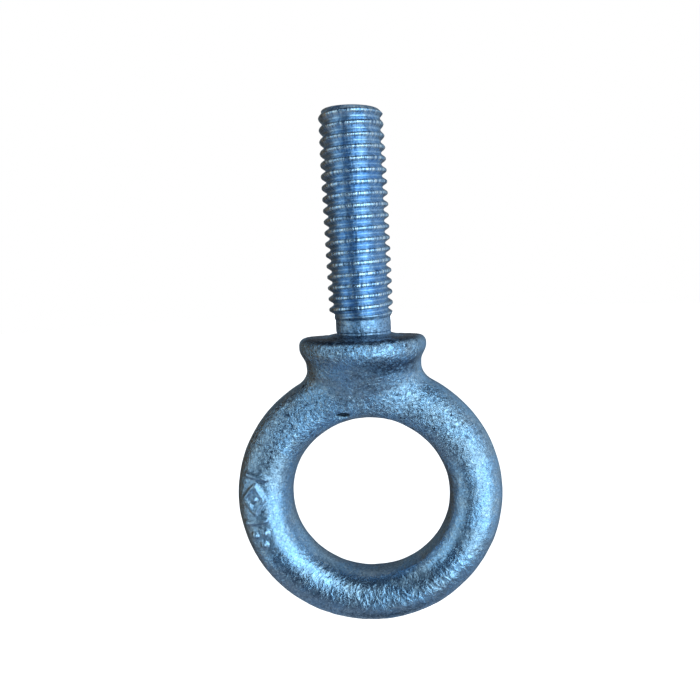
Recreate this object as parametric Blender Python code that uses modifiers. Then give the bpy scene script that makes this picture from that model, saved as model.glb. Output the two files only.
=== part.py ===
"""Shoulder-pattern machinery eye bolt, 3/8-16 UNC by 1 1/4 in, one drop forging with a rolled thread.

The frame: metres, +Z up along the shank, the eye in the XZ plane, and the origin at the centre of the
flat seat under which the bolt is clamped.  The shank stands up from the seat and the eye hangs below.
The forging is divided where its named regions meet: shank, shoulder collar and eye.
"""

import math

import bmesh
import bpy

# ---- shank and thread ----
THREAD_DIAMETER = 0.009525
THREAD_PITCH = 0.0254 / 16
THREAD_DEPTH = 0.61343 * THREAD_PITCH
CREST_FLAT = THREAD_PITCH / 8
ROOT_FLAT = THREAD_PITCH / 5
SHANK_LENGTH = 0.0323
END_CHAMFER = 0.00075
NECK_DIAMETER = THREAD_DIAMETER - 0.6495 * THREAD_PITCH
NECK_LENGTH = 0.0027
RUN_OUT = 0.0012
THREAD_LEAD_IN = 0.19
BASE_FILLET = 0.0008
SOCKET_DEPTH = 0.0009

# ---- shoulder collar ----
COLLAR_DIAMETER = 0.0191
SEAT_EDGE = 0.00095
WAIST_UNDERCUT = 0.00085
RIM_DROP = 0.00135
COLLAR_HEIGHT = 0.0040

# ---- eye ----
EYE_OUTSIDE = 0.0413
EYE_INSIDE = 0.0246
EYE_THICKNESS = 0.00835
EYE_DROP = 0.0250
SECTION_FULLNESS = 2.25
THROAT_WIDTH = 0.0110
THROAT_THICKNESS = 0.0064
THROAT_COVER = 0.0011
THROAT_HOLLOW = 0.45

# ---- fits and fineness ----
SEAM_GAP = 0.0003
OVERLAP = 0.0006
AXIS_MERGE = 0.00001
THREAD_STEPS = 24
COLLAR_STEPS = 48
EYE_STEPS = 64
SECTION_POINTS = 20
THROAT_SECTIONS = 7
THROAT_SIDES = 32

FOOT_RADIUS = NECK_DIAMETER / 2 + BASE_FILLET
SEAT_DIAMETER = COLLAR_DIAMETER - 2 * SEAT_EDGE
WAIST_DIAMETER = COLLAR_DIAMETER - 2 * WAIST_UNDERCUT
EYE_MAJOR_RADIUS = (EYE_OUTSIDE + EYE_INSIDE) / 4
SEAM_PLANE = -COLLAR_HEIGHT - SEAM_GAP


def clear_scene():
    """Removes whatever the file opened with."""
    for obj in list(bpy.data.objects):
        bpy.data.objects.remove(obj, do_unlink=True)


def make_collection(name):
    """A new collection under the scene's own."""
    collection = bpy.data.collections.new(name)
    bpy.context.scene.collection.children.link(collection)
    return collection


def zinc_plate(name, colour, roughness):
    """A plated-steel material."""
    material = bpy.data.materials.new(name)
    material.use_nodes = True
    shader = material.node_tree.nodes["Principled BSDF"]
    shader.inputs["Base Color"].default_value = (*colour, 1.0)
    shader.inputs["Metallic"].default_value = 1.0
    shader.inputs["Roughness"].default_value = roughness
    return material


def object_from_bmesh(bm, name, collection, material=None):
    """Makes an object of the mesh being edited, with its faces pointing out."""
    bmesh.ops.recalc_face_normals(bm, faces=bm.faces[:])
    mesh = bpy.data.meshes.new(name)
    bm.to_mesh(mesh)
    bm.free()
    obj = bpy.data.objects.new(name, mesh)
    if material:
        mesh.materials.append(material)
    collection.objects.link(obj)
    return obj


def outline_object(name, points, closed, collection, material=None):
    """An edge-only outline in the XZ plane, or in the XY plane where the points say so."""
    mesh = bpy.data.meshes.new(name)
    count = len(points)
    edges = [(i, i + 1) for i in range(count - 1)]
    if closed:
        edges.append((count - 1, 0))
    mesh.from_pydata(points, edges, [])
    if material:
        mesh.materials.append(material)
    obj = bpy.data.objects.new(name, mesh)
    collection.objects.link(obj)
    return obj


def add_screw(obj, axis, steps, rise=0.0, turns=1):
    """Turns an outline about an axis, rising by the given amount in each turn."""
    screw = obj.modifiers.new("Turn", "SCREW")
    screw.axis = axis
    screw.angle = 2 * math.pi
    screw.steps = steps
    screw.render_steps = steps
    screw.screw_offset = rise
    screw.iterations = turns
    screw.use_merge_vertices = True
    screw.merge_threshold = AXIS_MERGE
    screw.use_smooth_shade = True
    return screw


def add_boolean(obj, other, operation):
    """Joins, cuts or limits a piece with another solid."""
    boolean = obj.modifiers.new(operation.title() + " " + other.name, "BOOLEAN")
    boolean.operation = operation
    boolean.object = other
    boolean.solver = "EXACT"
    return boolean


def arc(centre_r, centre_z, radius, start, end, count):
    """Points of an arc in the XZ plane; the angles are in degrees from +X towards +Z."""
    points = []
    for i in range(count + 1):
        angle = math.radians(start + (end - start) * i / count)
        points.append((centre_r + radius * math.cos(angle), 0.0, centre_z + radius * math.sin(angle)))
    return points


def thread_form(collection):
    """The full-length thread: one pitch of its profile, screwed up the shank and capped at both ends."""
    crest = THREAD_DIAMETER / 2
    root = crest - THREAD_DEPTH
    flank = (THREAD_PITCH - CREST_FLAT - ROOT_FLAT) / 2
    heights = [0.0, -flank, -flank - CREST_FLAT, -2 * flank - CREST_FLAT, -THREAD_PITCH]
    radii = [root, crest, crest, root, root]
    turns = math.ceil(SHANK_LENGTH / THREAD_PITCH) + 3
    first_turn = NECK_LENGTH - THREAD_LEAD_IN * THREAD_PITCH
    outline = [(r, 0.0, first_turn + z) for r, z in zip(radii, heights)]
    blank = outline_object("thread_outline", outline, False, collection)
    add_screw(blank, "Z", THREAD_STEPS, rise=THREAD_PITCH, turns=turns)
    bpy.context.view_layer.update()
    graph = bpy.context.evaluated_depsgraph_get()
    bm = bmesh.new()
    bm.from_mesh(blank.evaluated_get(graph).to_mesh())
    bpy.data.objects.remove(blank, do_unlink=True)
    bmesh.ops.remove_doubles(bm, verts=bm.verts[:], dist=AXIS_MERGE)
    cap_thread_end(bm, below=True)
    cap_thread_end(bm, below=False)
    return object_from_bmesh(bm, "thread_form", collection)


def cap_thread_end(bm, below):
    """Closes one open end of the screwed surface with a fan from a point on the axis."""
    middle = NECK_LENGTH + SHANK_LENGTH / 2
    rim = []
    for edge in bm.edges:
        height = (edge.verts[0].co.z + edge.verts[1].co.z) / 2
        if edge.is_boundary and (height < middle) == below:
            rim.append(edge)
    heights = [vert.co.z for edge in rim for vert in edge.verts]
    centre = bm.verts.new((0.0, 0.0, (min(heights) + max(heights)) / 2))
    for edge in rim:
        bm.faces.new((edge.verts[0], edge.verts[1], centre))


def shank_envelope(collection):
    """The turned shape that limits the thread: end chamfer at the top, run-out cone at the bottom."""
    outer = THREAD_DIAMETER / 2 + OVERLAP
    end = THREAD_DIAMETER / 2 - END_CHAMFER
    neck = NECK_DIAMETER / 2
    outline = [
        (0.0, 0.0, SHANK_LENGTH),
        (end, 0.0, SHANK_LENGTH),
        (outer, 0.0, SHANK_LENGTH - (outer - end)),
        (outer, 0.0, NECK_LENGTH + RUN_OUT * (outer - neck) / (THREAD_DIAMETER / 2 - neck)),
        (neck, 0.0, NECK_LENGTH),
        (0.0, 0.0, NECK_LENGTH),
    ]
    envelope = outline_object("shank_envelope", outline, False, collection)
    add_screw(envelope, "Z", THREAD_STEPS)
    return envelope


def plain_neck(collection):
    """The unthreaded neck with its fillet at the seat, and the foot that stands in the collar's socket."""
    neck = NECK_DIAMETER / 2
    bottom = SEAM_GAP - SOCKET_DEPTH
    fillet = arc(FOOT_RADIUS, BASE_FILLET, BASE_FILLET, 180, 270, 4)
    outline = [(0.0, 0.0, NECK_LENGTH + OVERLAP), (neck - OVERLAP, 0.0, NECK_LENGTH + OVERLAP)]
    outline += [(neck, 0.0, NECK_LENGTH)]
    outline += fillet
    outline += [(FOOT_RADIUS, 0.0, bottom), (0.0, 0.0, bottom)]
    shape = outline_object("plain_neck", outline, False, collection)
    add_screw(shape, "Z", THREAD_STEPS)
    return shape


def build_shank(parts, cutters, material):
    """The threaded shank, from its fillet on the seat to its chamfered end."""
    form = thread_form(cutters)
    shank = bpy.data.objects.new("threaded_shank", form.data.copy())
    shank.data.materials.append(material)
    parts.objects.link(shank)
    bpy.data.objects.remove(form, do_unlink=True)
    add_boolean(shank, shank_envelope(cutters), "INTERSECT")
    add_boolean(shank, plain_neck(cutters), "UNION")
    return shank


def build_collar(parts, material):
    """The shoulder collar: socket for the shank, flat seat, rounded rim and a hollow down to the waist."""
    socket = FOOT_RADIUS + SEAM_GAP
    rim = COLLAR_DIAMETER / 2
    seat = SEAT_DIAMETER / 2
    waist = WAIST_DIAMETER / 2
    outline = [(0.0, 0.0, -SOCKET_DEPTH), (socket, 0.0, -SOCKET_DEPTH), (socket, 0.0, 0.0), (seat, 0.0, 0.0)]
    outline += quarter_blend(seat, 0.0, rim, -RIM_DROP, 5)
    outline += hollow_blend(rim, -RIM_DROP, waist, -COLLAR_HEIGHT, 7)
    outline += [(0.0, 0.0, -COLLAR_HEIGHT)]
    collar = outline_object("shoulder_collar", outline, False, parts, material)
    add_screw(collar, "Z", COLLAR_STEPS)
    return collar


def quarter_blend(r_start, z_start, r_end, z_end, count):
    """A quarter ellipse that leaves level and arrives upright, without its first point."""
    points = []
    for i in range(1, count + 1):
        angle = math.pi / 2 * i / count
        r = r_start + (r_end - r_start) * math.sin(angle)
        z = z_start + (z_end - z_start) * (1 - math.cos(angle))
        points.append((r, 0.0, z))
    return points


def hollow_blend(r_start, z_start, r_end, z_end, count):
    """An S-curve that leaves and arrives upright, without its first point."""
    points = []
    for i in range(1, count + 1):
        share = i / count
        r = r_start + (r_end - r_start) * (1 - math.cos(math.pi * share)) / 2
        points.append((r, 0.0, z_start + (z_end - z_start) * share))
    return points


def ring_section():
    """The eye's cross-section, fuller than a circle towards its four corners, in the XY plane."""
    half_width = (EYE_OUTSIDE - EYE_INSIDE) / 4
    half_thickness = EYE_THICKNESS / 2
    points = []
    for i in range(SECTION_POINTS):
        angle = 2 * math.pi * i / SECTION_POINTS
        across, along = math.cos(angle), math.sin(angle)
        power = 2 / SECTION_FULLNESS
        x = half_width * math.copysign(abs(across) ** power, across)
        y = half_thickness * math.copysign(abs(along) ** power, along)
        points.append((EYE_MAJOR_RADIUS + x, y, 0.0))
    return points


def throat_section(share):
    """Half-width, half-thickness and height of the throat, from 0 at the waist to 1 above the eye."""
    top = SEAM_PLANE + OVERLAP
    bottom = -EYE_DROP + EYE_INSIDE / 2 + THROAT_COVER
    hollow = share * (1 + THROAT_HOLLOW * (1 - share))
    half_width = WAIST_DIAMETER / 2 + (THROAT_WIDTH - WAIST_DIAMETER) / 2 * share**2
    half_thickness = WAIST_DIAMETER / 2 + (THROAT_THICKNESS - WAIST_DIAMETER) / 2 * hollow
    return half_width, half_thickness, top + (bottom - top) * share


def build_throat(collection):
    """The forging's throat: a loft from the round waist to the flatter top of the eye."""
    bm = bmesh.new()
    rings = []
    for i in range(THROAT_SECTIONS):
        half_width, half_thickness, z = throat_section(i / (THROAT_SECTIONS - 1))
        ring = []
        for k in range(THROAT_SIDES):
            angle = 2 * math.pi * k / THROAT_SIDES
            ring.append(bm.verts.new((half_width * math.cos(angle), half_thickness * math.sin(angle), z)))
        rings.append(ring)
    for upper, lower in zip(rings, rings[1:]):
        for k in range(THROAT_SIDES):
            following = (k + 1) % THROAT_SIDES
            bm.faces.new((upper[k], upper[following], lower[following], lower[k]))
    bm.faces.new(rings[0])
    bm.faces.new(rings[-1])
    return object_from_bmesh(bm, "throat", collection)


def seam_block(collection):
    """A block above the seam plane, which keeps the eye clear of the collar."""
    side = 2 * max(EYE_OUTSIDE, COLLAR_DIAMETER)
    bm = bmesh.new()
    bmesh.ops.create_cube(bm, size=side)
    bmesh.ops.translate(bm, verts=bm.verts[:], vec=(0.0, 0.0, SEAM_PLANE + side / 2))
    return object_from_bmesh(bm, "seam_block", collection)


def build_eye(parts, cutters, material):
    """The eye and its throat, up to the seam under the collar."""
    eye = outline_object("eye_ring", ring_section(), True, parts, material)
    add_screw(eye, "Y", EYE_STEPS)
    eye.location.z = -EYE_DROP
    add_boolean(eye, build_throat(cutters), "UNION")
    add_boolean(eye, seam_block(cutters), "DIFFERENCE")
    return eye


def hide_cutters(cutters):
    """Keeps the helper solids out of renders."""
    for obj in cutters.objects:
        obj.hide_render = True
        obj.display_type = "WIRE"


def main():
    """Builds the eye bolt."""
    clear_scene()
    parts = make_collection("eye_bolt")
    cutters = make_collection("eye_bolt_cutters")
    forged = zinc_plate("zinc_on_forging", (0.36, 0.45, 0.56), 0.38)
    rolled = zinc_plate("zinc_on_rolled_thread", (0.42, 0.55, 0.70), 0.22)
    build_shank(parts, cutters, rolled)
    build_collar(parts, forged)
    build_eye(parts, cutters, forged)
    hide_cutters(cutters)


main()
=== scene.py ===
"""Looks of the shoulder-pattern eye bolt: one zinc-plated drop forging with a rolled thread.

Everything is in metres and in the part's own frame: +Z up the shank, the eye in the XZ plane, and the
origin at the centre of the seat.  The front of the eye is its -Y side.  Two pieces stand for the three CAD
nodes: the forging (eye, throat and collar in one skin) and the rolled shank.
"""

import logging
import math
from dataclasses import dataclass, field
from enum import Enum
from typing import Any, Callable, Iterable

import bmesh
import bpy
import numpy as np
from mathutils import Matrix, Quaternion, Vector, noise


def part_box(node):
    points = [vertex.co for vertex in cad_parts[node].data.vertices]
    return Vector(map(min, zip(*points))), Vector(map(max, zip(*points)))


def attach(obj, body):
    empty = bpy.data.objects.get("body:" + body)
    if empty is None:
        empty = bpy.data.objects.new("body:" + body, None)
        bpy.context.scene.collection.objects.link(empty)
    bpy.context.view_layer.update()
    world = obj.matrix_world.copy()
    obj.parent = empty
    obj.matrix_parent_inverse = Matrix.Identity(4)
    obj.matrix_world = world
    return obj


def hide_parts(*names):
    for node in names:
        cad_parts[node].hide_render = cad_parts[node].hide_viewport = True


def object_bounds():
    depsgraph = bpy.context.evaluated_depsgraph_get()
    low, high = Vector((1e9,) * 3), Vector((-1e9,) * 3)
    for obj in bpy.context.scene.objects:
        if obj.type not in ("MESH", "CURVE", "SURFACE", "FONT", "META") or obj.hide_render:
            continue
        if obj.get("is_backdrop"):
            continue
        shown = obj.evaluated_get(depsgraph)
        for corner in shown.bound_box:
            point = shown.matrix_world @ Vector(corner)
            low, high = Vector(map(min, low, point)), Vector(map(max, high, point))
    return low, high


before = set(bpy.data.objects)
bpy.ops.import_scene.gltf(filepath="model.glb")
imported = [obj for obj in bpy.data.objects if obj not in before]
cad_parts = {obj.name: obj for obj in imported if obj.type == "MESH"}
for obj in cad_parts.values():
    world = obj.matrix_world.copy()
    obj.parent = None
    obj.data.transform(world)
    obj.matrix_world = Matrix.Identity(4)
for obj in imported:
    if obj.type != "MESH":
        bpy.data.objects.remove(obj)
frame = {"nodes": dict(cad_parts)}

THREAD_PITCH = 0.0254 / 16
PITCH_DIAMETER_DROP = 0.6495
PATCHES_PER_CRYSTAL = 0.23
FLECKS_PER_DRIFT = 13.0
SPECKS_PER_DRIFT = 17.0
PATCH_CUT = (0.36, 0.64)
FLECK_CUT = (0.54, 0.66)
SPECK_CUT = (0.56, 0.36)
WHITE = (1.0, 1.0, 1.0, 1.0)
NOISE_LAYER_SHIFT = 17.0
SAME_LEVEL = 1e-5
NOT_ZERO = 1e-12
Colour = tuple[float, float, float]
Span = tuple[float, float]
log = logging.getLogger("eye_bolt")


# ---------------------------------------------------------------------------------------------------------
# Sizes and small tools
# ---------------------------------------------------------------------------------------------------------


class Skin(Enum):
    """The vertex masks that tell the finishes how each stretch of the surface was made."""

    TRIMMED = "trimmed"
    DRAWN = "drawn"
    HOLLOW = "hollow"
    CREST = "crest"


def corners_of(node: bpy.types.Object) -> np.ndarray:
    """Reads a mesh's vertices.

    Args:
        node: A mesh object whose place is in its vertices.

    Returns:
        An array of points, one to a row.
    """
    points = np.empty(len(node.data.vertices) * 3, np.float32)
    node.data.vertices.foreach_get("co", points)
    return points.reshape(-1, 3).astype(float)


def ramp(values: np.ndarray, low: float, high: float) -> np.ndarray:
    """Rises smoothly from 0 at low to 1 at high.

    Args:
        values: Numbers to grade.
        low: Where the ramp starts.
        high: Where it ends, which may lie below low.

    Returns:
        Shares from 0 to 1.
    """
    share = np.clip((values - low) / (high - low), 0.0, 1.0)
    return share * share * (3.0 - 2.0 * share)


def fillet_join(first: np.ndarray, second: np.ndarray, radius: float) -> np.ndarray:
    """Joins two distance fields with a fillet.

    Args:
        first: Distances to one shape, negative inside.
        second: Distances to the other.
        radius: The fillet's radius.

    Returns:
        Distances to the joined shape.
    """
    reach = np.hypot(np.maximum(radius - first, 0.0), np.maximum(radius - second, 0.0))
    return np.maximum(radius, np.minimum(first, second)) - reach


def rounded_cut(first: np.ndarray, second: np.ndarray, radius: float) -> np.ndarray:
    """Keeps what two distance fields share, with its edge rounded.

    Args:
        first: Distances to one shape, negative inside.
        second: Distances to the other.
        radius: The edge's radius.

    Returns:
        Distances to the common part.
    """
    reach = np.hypot(np.maximum(radius + first, 0.0), np.maximum(radius + second, 0.0))
    return np.minimum(-radius, np.maximum(first, second)) + reach


def noise_at(points: np.ndarray, wavelength: float, octaves: int = 1) -> np.ndarray:
    """Smooth seeded noise at each point.

    Args:
        points: An array of points, one to a row.
        wavelength: The size of the largest lumps.
        octaves: How many ever finer layers are added.

    Returns:
        Numbers from about -1 to 1.
    """
    total = np.zeros(len(points))
    strength = 1.0
    for octave in range(octaves):
        scaled = points * (2.0**octave / wavelength) + NOISE_LAYER_SHIFT * octave
        total += strength * np.array([noise.noise(Vector(p)) for p in scaled])
        strength *= 0.5
    return total


@dataclass(frozen=True)
class FrameSizes:
    """Sizes measured on the fixed frame, in metres.

    Each drop is a distance below the seat.
    """

    eye_outside: float
    eye_hole: float
    eye_drop: float
    eye_half_thickness: float
    rim_radius: float
    rim_drop: float
    waist_radius: float
    collar_height: float
    thread_radius: float
    shank_length: float

    @property
    def eye_middle(self) -> float:
        """Radius of the circle through the middle of the eye's section."""
        return (self.eye_outside + self.eye_hole) / 2

    @property
    def eye_half_width(self) -> float:
        """Half the width of the eye's section."""
        return (self.eye_outside - self.eye_hole) / 2

    @property
    def neck_radius(self) -> float:
        """Radius of the plain neck, which is the rolling blank's."""
        return self.thread_radius - PITCH_DIAMETER_DROP * THREAD_PITCH / 2

    @classmethod
    def measured(cls, nodes: dict[str, bpy.types.Object]) -> "FrameSizes":
        """Measures the CAD nodes.

        Args:
            nodes: The frame's nodes by name.

        Returns:
            The sizes that the visual pieces are built from.
        """
        low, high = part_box("eye_ring")
        outside = (high.x - low.x) / 2
        drop = -(low.z + outside)
        eye = corners_of(nodes["eye_ring"])
        eye_radii = np.hypot(eye[:, 0], eye[:, 2] + drop)
        collar = corners_of(nodes["shoulder_collar"])
        collar_radii = np.hypot(collar[:, 0], collar[:, 1])
        bottom = collar[:, 2].min()
        at_bottom = collar[:, 2] < bottom + SAME_LEVEL
        shank = corners_of(nodes["threaded_shank"])
        above_foot = shank[:, 2] > shank[:, 2].max() / 2
        return cls(
            eye_outside=outside,
            eye_hole=float(eye_radii.min()),
            eye_drop=drop,
            eye_half_thickness=float(np.abs(eye[eye[:, 2] < -drop, 1]).max()),
            rim_radius=float(collar_radii.max()),
            rim_drop=-float(collar[collar_radii.argmax(), 2]),
            waist_radius=float(collar_radii[at_bottom].max()),
            collar_height=-float(bottom),
            thread_radius=float(np.hypot(shank[above_foot, 0], shank[above_foot, 1]).max()),
            shank_length=float(shank[:, 2].max()),
        )


# ---------------------------------------------------------------------------------------------------------
# Shader tools: one patch board, and the effects that the finishes share
# ---------------------------------------------------------------------------------------------------------


class Patch:
    """Adds nodes to one shader tree and joins them."""

    def __init__(self, tree: bpy.types.NodeTree) -> None:
        """Keeps the tree that the nodes go into."""
        self.tree = tree

    @staticmethod
    def socket(sockets: Iterable[Any], key: str) -> Any:
        """Finds a socket.

        Args:
            sockets: A node's inputs or outputs.
            key: The socket's identifier or name.

        Returns:
            The first socket that answers to the key.
        """
        return next(s for s in sockets if key in (s.identifier, s.name))

    def node(self, kind: str, inputs: dict[str, Any] | None = None, **settings: Any) -> bpy.types.Node:
        """Adds a node.

        Args:
            kind: The node's type name.
            inputs: A value, or another node's output, for each input.
            **settings: The node's own properties.

        Returns:
            The new node.
        """
        made = self.tree.nodes.new(kind)
        for name, value in settings.items():
            setattr(made, name, value)
        for key, value in (inputs or {}).items():
            target = self.socket(made.inputs, key)
            if isinstance(value, bpy.types.NodeSocket):
                self.tree.links.new(value, target)
            else:
                target.default_value = value
        return made

    def math(self, operation: str, first: Any, second: Any = 0.0, clamp: bool = False) -> Any:
        """Adds a Math node.

        Args:
            operation: What the node does.
            first: A number or an output.
            second: A number or an output.
            clamp: Whether the result is held between 0 and 1.

        Returns:
            The node's output.
        """
        inputs = {"Value": first, "Value_001": second}
        return self.node("ShaderNodeMath", inputs, operation=operation, use_clamp=clamp).outputs[0]

    def vector(self, operation: str, first: Any, second: Any = (0.0, 0.0, 0.0)) -> Any:
        """Adds a Vector Math node.

        Args:
            operation: What the node does.
            first: A vector or an output.
            second: A vector or an output.

        Returns:
            The node's vector output.
        """
        inputs = {"Vector": first, "Vector_001": second}
        return self.node("ShaderNodeVectorMath", inputs, operation=operation).outputs[0]

    def scaled(self, first: Any, scale: Any) -> Any:
        """A vector times a number."""
        inputs = {"Vector": first, "Scale": scale}
        return self.node("ShaderNodeVectorMath", inputs, operation="SCALE").outputs[0]

    def blend(self, share: Any, low: Any, high: Any) -> Any:
        """Mixes two numbers.

        Args:
            share: 0 for the first, 1 for the second.
            low: The first number or output.
            high: The second number or output.

        Returns:
            The node's output.
        """
        inputs = {"Factor_Float": share, "A_Float": low, "B_Float": high}
        mix = self.node("ShaderNodeMix", inputs, data_type="FLOAT")
        return self.socket(mix.outputs, "Result_Float")

    def tint(self, share: Any, low: Any, high: Any) -> Any:
        """Mixes two colours.

        Args:
            share: How much of the second.
            low: The first colour or output.
            high: The second colour or output.

        Returns:
            The node's output.
        """
        inputs = {"Factor_Float": share, "A_Color": low, "B_Color": high}
        mix = self.node("ShaderNodeMix", inputs, data_type="RGBA")
        return self.socket(mix.outputs, "Result_Color")

    def grade(self, value: Any, low: float, high: float, to_low: float = 0.0, to_high: float = 1.0) -> Any:
        """Maps a range smoothly onto another.

        Args:
            value: The output to map.
            low: Where the range starts.
            high: Where it ends.
            to_low: What low becomes.
            to_high: What high becomes.

        Returns:
            The node's output.
        """
        inputs = {"Value": value, "From Min": low, "From Max": high, "To Min": to_low, "To Max": to_high}
        return self.node("ShaderNodeMapRange", inputs, interpolation_type="SMOOTHSTEP").outputs[0]

    def grain(
        self, vector: Any, scale: Any, detail: float = 2.0, roughness: float = 0.5, warp: float = 0.0
    ) -> Any:
        """Adds a Noise Texture.

        Args:
            vector: Where the noise is read.
            scale: How fine it is.
            detail: How many finer layers it has.
            roughness: How strong the finer layers are.
            warp: How far it is distorted.

        Returns:
            The noise as a number.
        """
        inputs = {"Vector": vector, "Scale": scale, "Detail": detail}
        inputs |= {"Roughness": roughness, "Distortion": warp}
        return self.node("ShaderNodeTexNoise", inputs).outputs[0]

    def mask(self, skin: Skin) -> Any:
        """One of the vertex masks."""
        return self.node("ShaderNodeAttribute", attribute_name=skin.value).outputs["Fac"]

    def effect(self, group: bpy.types.NodeTree, inputs: dict[str, Any]) -> bpy.types.Node:
        """Places a shared effect.

        Args:
            group: The effect's node group.
            inputs: A value, or an output, for each of its inputs.

        Returns:
            The group node.
        """
        return self.node("ShaderNodeGroup", inputs, node_tree=group)

    def all_of(self, *shares: Any) -> Any:
        """Multiplies shares, so that the result is high only where all of them are.

        Args:
            *shares: Numbers or outputs.

        Returns:
            The last node's output.
        """
        product = shares[0]
        for share in shares[1:]:
            product = self.math("MULTIPLY", product, share)
        return product

    def any_of(self, *shares: Any) -> Any:
        """The highest of some shares.

        Args:
            *shares: Numbers or outputs.

        Returns:
            The last node's output.
        """
        highest = shares[0]
        for share in shares[1:]:
            highest = self.math("MAXIMUM", highest, share)
        return highest

    def relief(self, layers: Iterable[tuple[float, Any]]) -> Any:
        """Stacks bumps, coarsest first.

        Args:
            layers: The depth, in metres, and the height output of each bump.

        Returns:
            The normal of the last bump.
        """
        below = None
        for depth, height in layers:
            inputs = {"Distance": depth, "Height": height}
            if below is not None:
                inputs["Normal"] = below
            below = self.node("ShaderNodeBump", inputs).outputs[0]
        return below

    def finish(self, shader: bpy.types.Node, **sockets: Any) -> None:
        """Joins outputs to a shader.

        Args:
            shader: The Principled shader.
            **sockets: An output for each socket, with _ for a space in the socket's name.
        """
        for name, output in sockets.items():
            self.tree.links.new(output, shader.inputs[name.replace("_", " ")])


@dataclass(frozen=True)
class Effect:
    """A shared effect: a node group with named inputs and outputs, made once."""

    name: str
    inputs: dict[str, str]
    outputs: dict[str, str]
    wire: Callable[[Patch, dict[str, Any]], dict[str, Any]]

    def group(self) -> bpy.types.NodeTree:
        """Makes the group, or finds the one made before.

        Returns:
            The effect's node group.
        """
        if self.name in bpy.data.node_groups:
            return bpy.data.node_groups[self.name]
        tree = bpy.data.node_groups.new(self.name, "ShaderNodeTree")
        for name, kind in self.inputs.items():
            tree.interface.new_socket(name, in_out="INPUT", socket_type=kind)
        for name, kind in self.outputs.items():
            tree.interface.new_socket(name, in_out="OUTPUT", socket_type=kind)
        entry = tree.nodes.new("NodeGroupInput")
        leave = tree.nodes.new("NodeGroupOutput")
        given = {name: entry.outputs[name] for name in self.inputs}
        for name, output in self.wire(Patch(tree), given).items():
            tree.links.new(output, leave.inputs[name])
        return tree


def wire_frost(patch: Patch, given: dict[str, Any]) -> dict[str, Any]:
    """The fine crystal tooth of zinc plate.

    Args:
        patch: Where the nodes go.
        given: The group's inputs.

    Returns:
        The group's outputs.
    """
    fine = patch.grain(given["Place"], given["Fineness"], 3.0, 0.65)
    broad = patch.grain(given["Place"], patch.math("MULTIPLY", given["Fineness"], PATCHES_PER_CRYSTAL), 2.0)
    return {"Height": fine, "Patches": patch.grade(broad, *PATCH_CUT)}


def wire_zinc_tint(patch: Patch, given: dict[str, Any]) -> dict[str, Any]:
    """The drift of a clear chromate over zinc, from blue through grey to a pale bloom.

    Args:
        patch: Where the nodes go.
        given: The group's inputs.

    Returns:
        The group's outputs.
    """
    place, drift = given["Place"], given["Drift"]
    broad = patch.grade(patch.grain(place, drift, 3.0, 0.55, 0.6), *PATCH_CUT)
    body = patch.tint(broad, given["Blue"], given["Grey"])
    fleck = patch.grain(place, patch.math("MULTIPLY", drift, FLECKS_PER_DRIFT), 2.0)
    bloom = patch.math("MULTIPLY", patch.grade(fleck, *FLECK_CUT), given["Bloom"])
    tooth = patch.grain(place, patch.math("MULTIPLY", drift, SPECKS_PER_DRIFT), 3.0, 0.65)
    dull = patch.math("MULTIPLY", patch.grade(tooth, *SPECK_CUT), given["Speckle"])
    return {"Colour": patch.tint(dull, patch.tint(bloom, body, given["Pale"]), given["Dull"])}


FROST = Effect(
    "zinc_frost",
    {"Place": "NodeSocketVector", "Fineness": "NodeSocketFloat"},
    {"Height": "NodeSocketFloat", "Patches": "NodeSocketFloat"},
    wire_frost,
)
ZINC_TINT = Effect(
    "zinc_tint",
    {
        "Place": "NodeSocketVector",
        "Drift": "NodeSocketFloat",
        "Bloom": "NodeSocketFloat",
        "Speckle": "NodeSocketFloat",
        "Blue": "NodeSocketColor",
        "Grey": "NodeSocketColor",
        "Pale": "NodeSocketColor",
        "Dull": "NodeSocketColor",
    },
    {"Colour": "NodeSocketColor"},
    wire_zinc_tint,
)


# ---------------------------------------------------------------------------------------------------------
# Finishes
# ---------------------------------------------------------------------------------------------------------


def new_material(name: str) -> tuple[bpy.types.Material, Patch, bpy.types.Node]:
    """Starts a material.

    Args:
        name: The material's name.

    Returns:
        The material, its patch board and its Principled shader.
    """
    material = bpy.data.materials.new(name)
    material.use_nodes = True
    shader = material.node_tree.nodes["Principled BSDF"]
    return material, Patch(material.node_tree), shader


@dataclass(frozen=True)
class ZincTones:
    """The colours that clear zinc plate drifts between."""

    blue: Colour = (0.39, 0.60, 0.84)
    grey: Colour = (0.43, 0.55, 0.68)
    pale: Colour = (0.80, 0.90, 0.97)
    dull: Colour = (0.12, 0.18, 0.27)
    drift: float = 190.0
    bloom: float = 0.6
    speckle: float = 0.5

    def tinted(self, patch: Patch, place: Any) -> Any:
        """The plate's own colour.

        Args:
            patch: Where the nodes go.
            place: The object's own coordinates.

        Returns:
            A colour output.
        """
        tones = {"Blue": self.blue, "Grey": self.grey, "Pale": self.pale, "Dull": self.dull}
        inputs = {name: (*colour, 1.0) for name, colour in tones.items()}
        inputs |= {"Place": place, "Drift": self.drift, "Bloom": self.bloom, "Speckle": self.speckle}
        return patch.effect(ZINC_TINT.group(), inputs).outputs["Colour"]


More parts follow.
